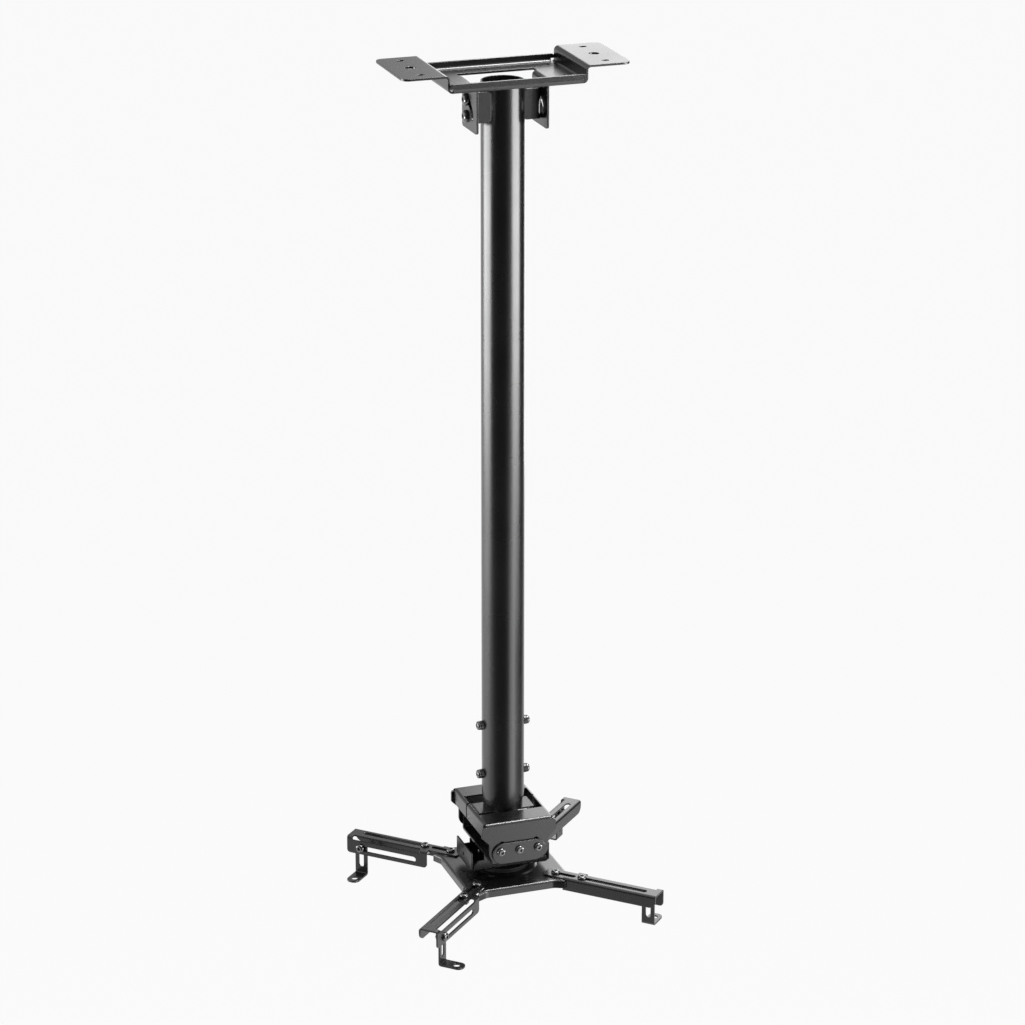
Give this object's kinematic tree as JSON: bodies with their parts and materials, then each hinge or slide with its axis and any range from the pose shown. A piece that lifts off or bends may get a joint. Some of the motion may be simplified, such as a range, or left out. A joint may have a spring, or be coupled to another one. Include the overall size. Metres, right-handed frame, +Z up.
{
  "type": "projector ceiling mount",
  "caption": "Black steel projector ceiling mount: folded ceiling plate, telescopic tilting pole, tilt and roll head, and a swivelling spider with slotted arms and adjustable feet.",
  "frame": {"origin": "centre of the four outer ceiling slots, on the face of the wings that meets the ceiling", "axes": "+Z up into the ceiling, +X along the ceiling plate, -Y the front that faces the camera"},
  "size_m": [0.3238, 0.3238, 1.0245],
  "materials": {
    "powder_coat": "satin black powder coat with a fine grain",
    "black_screw": "black oxide steel, slightly glossy",
    "black_nylon": "matt black nylon"
  },
  "bodies": {
    "ceiling": {"ceiling_plate": "powder_coat"},
    "pole": {"outer_tube": "powder_coat", "channel_left": "powder_coat", "channel_right": "powder_coat", "ceiling_pivot_bolts": "black_screw", "ceiling_lock_bolts": "black_screw", "ceiling_bolt_nuts": "black_screw", "pole_weld_nuts": "powder_coat", "pole_lock_screws": "black_screw"},
    "slider": {"inner_tube": "powder_coat", "saddle": "powder_coat"},
    "tilt": {"tilt_bracket": "powder_coat", "pitch_screws": "black_screw", "pitch_washers": "black_nylon"},
    "carrier": {"roll_cradle": "powder_coat", "roll_plate_front": "powder_coat", "roll_plate_back": "powder_coat", "roll_screws_front": "black_screw", "roll_screws_back": "black_screw", "roll_nuts": "black_screw", "tray": "powder_coat", "friction_washer": "black_nylon", "swivel_bolt": "black_screw", "lower_washer": "black_screw", "swivel_nut": "black_screw"},
    "spider": {"spider_plate": "powder_coat", "arm_screws": "black_screw", "arm_nuts": "black_screw"},
    "arm_back_right": {"arm_back_right": "powder_coat"},
    "carriage_back_right": {"foot_screw_back_right": "black_screw", "foot_nut_back_right": "black_screw"},
    "foot_back_right": {"foot_back_right": "powder_coat"},
    "arm_back_left": {"arm_back_left": "powder_coat"},
    "carriage_back_left": {"foot_screw_back_left": "black_screw", "foot_nut_back_left": "black_screw"},
    "foot_back_left": {"foot_back_left": "powder_coat"},
    "arm_front_left": {"arm_front_left": "powder_coat"},
    "carriage_front_left": {"foot_screw_front_left": "black_screw", "foot_nut_front_left": "black_screw"},
    "foot_front_left": {"foot_front_left": "powder_coat"},
    "arm_front_right": {"arm_front_right": "powder_coat"},
    "carriage_front_right": {"foot_screw_front_right": "black_screw", "foot_nut_front_right": "black_screw"},
    "foot_front_right": {"foot_front_right": "powder_coat"}
  },
  "joints": [
    {"name": "ceiling_tilt", "type": "hinge", "parent": "ceiling", "child": "pole", "pos_m": [0, 0, -0.0595], "axis": [1, 0, 0], "range_deg": [0, 80]},
    {"name": "height_slide", "type": "slide", "parent": "pole", "child": "slider", "axis": [0, 0, -1], "range_m": [0, 0.4]},
    {"name": "head_pitch", "type": "hinge", "parent": "slider", "child": "tilt", "pos_m": [0, 0, -0.91], "axis": [1, 0, 0], "range_deg": [-15, 15]},
    {"name": "head_roll", "type": "hinge", "parent": "tilt", "child": "carrier", "pos_m": [0, 0, -0.933], "axis": [0, 1, 0], "range_deg": [-20, 20]},
    {"name": "head_swivel", "type": "hinge", "parent": "carrier", "child": "spider", "pos_m": [0, 0, -0.975], "axis": [0, 0, 1], "continuous": true},
    {"name": "arm_slide_back_right", "type": "slide", "parent": "spider", "child": "arm_back_right", "axis": [-0.7071, -0.7071, 0], "range_m": [0, 0.012]},
    {"name": "foot_slide_back_right", "type": "slide", "parent": "arm_back_right", "child": "carriage_back_right", "axis": [-0.7071, -0.7071, 0], "range_m": [0, 0.07]},
    {"name": "foot_lift_back_right", "type": "slide", "parent": "carriage_back_right", "child": "foot_back_right", "axis": [0, 0, 1], "range_m": [0, 0.022]},
    {"name": "arm_slide_back_left", "type": "slide", "parent": "spider", "child": "arm_back_left", "axis": [0.7071, -0.7071, 0], "range_m": [0, 0.012]},
    {"name": "foot_slide_back_left", "type": "slide", "parent": "arm_back_left", "child": "carriage_back_left", "axis": [0.7071, -0.7071, 0], "range_m": [0, 0.07]},
    {"name": "foot_lift_back_left", "type": "slide", "parent": "carriage_back_left", "child": "foot_back_left", "axis": [0, 0, 1], "range_m": [0, 0.022]},
    {"name": "arm_slide_front_left", "type": "slide", "parent": "spider", "child": "arm_front_left", "axis": [0.7071, 0.7071, 0], "range_m": [0, 0.012]},
    {"name": "foot_slide_front_left", "type": "slide", "parent": "arm_front_left", "child": "carriage_front_left", "axis": [0.7071, 0.7071, 0], "range_m": [0, 0.07]},
    {"name": "foot_lift_front_left", "type": "slide", "parent": "carriage_front_left", "child": "foot_front_left", "axis": [0, 0, 1], "range_m": [0, 0.022]},
    {"name": "arm_slide_front_right", "type": "slide", "parent": "spider", "child": "arm_front_right", "axis": [-0.7071, 0.7071, 0], "range_m": [0, 0.012]},
    {"name": "foot_slide_front_right", "type": "slide", "parent": "arm_front_right", "child": "carriage_front_right", "axis": [-0.7071, 0.7071, 0], "range_m": [0, 0.07]},
    {"name": "foot_lift_front_right", "type": "slide", "parent": "carriage_front_right", "child": "foot_front_right", "axis": [0, 0, 1], "range_m": [0, 0.022]}
  ]
}
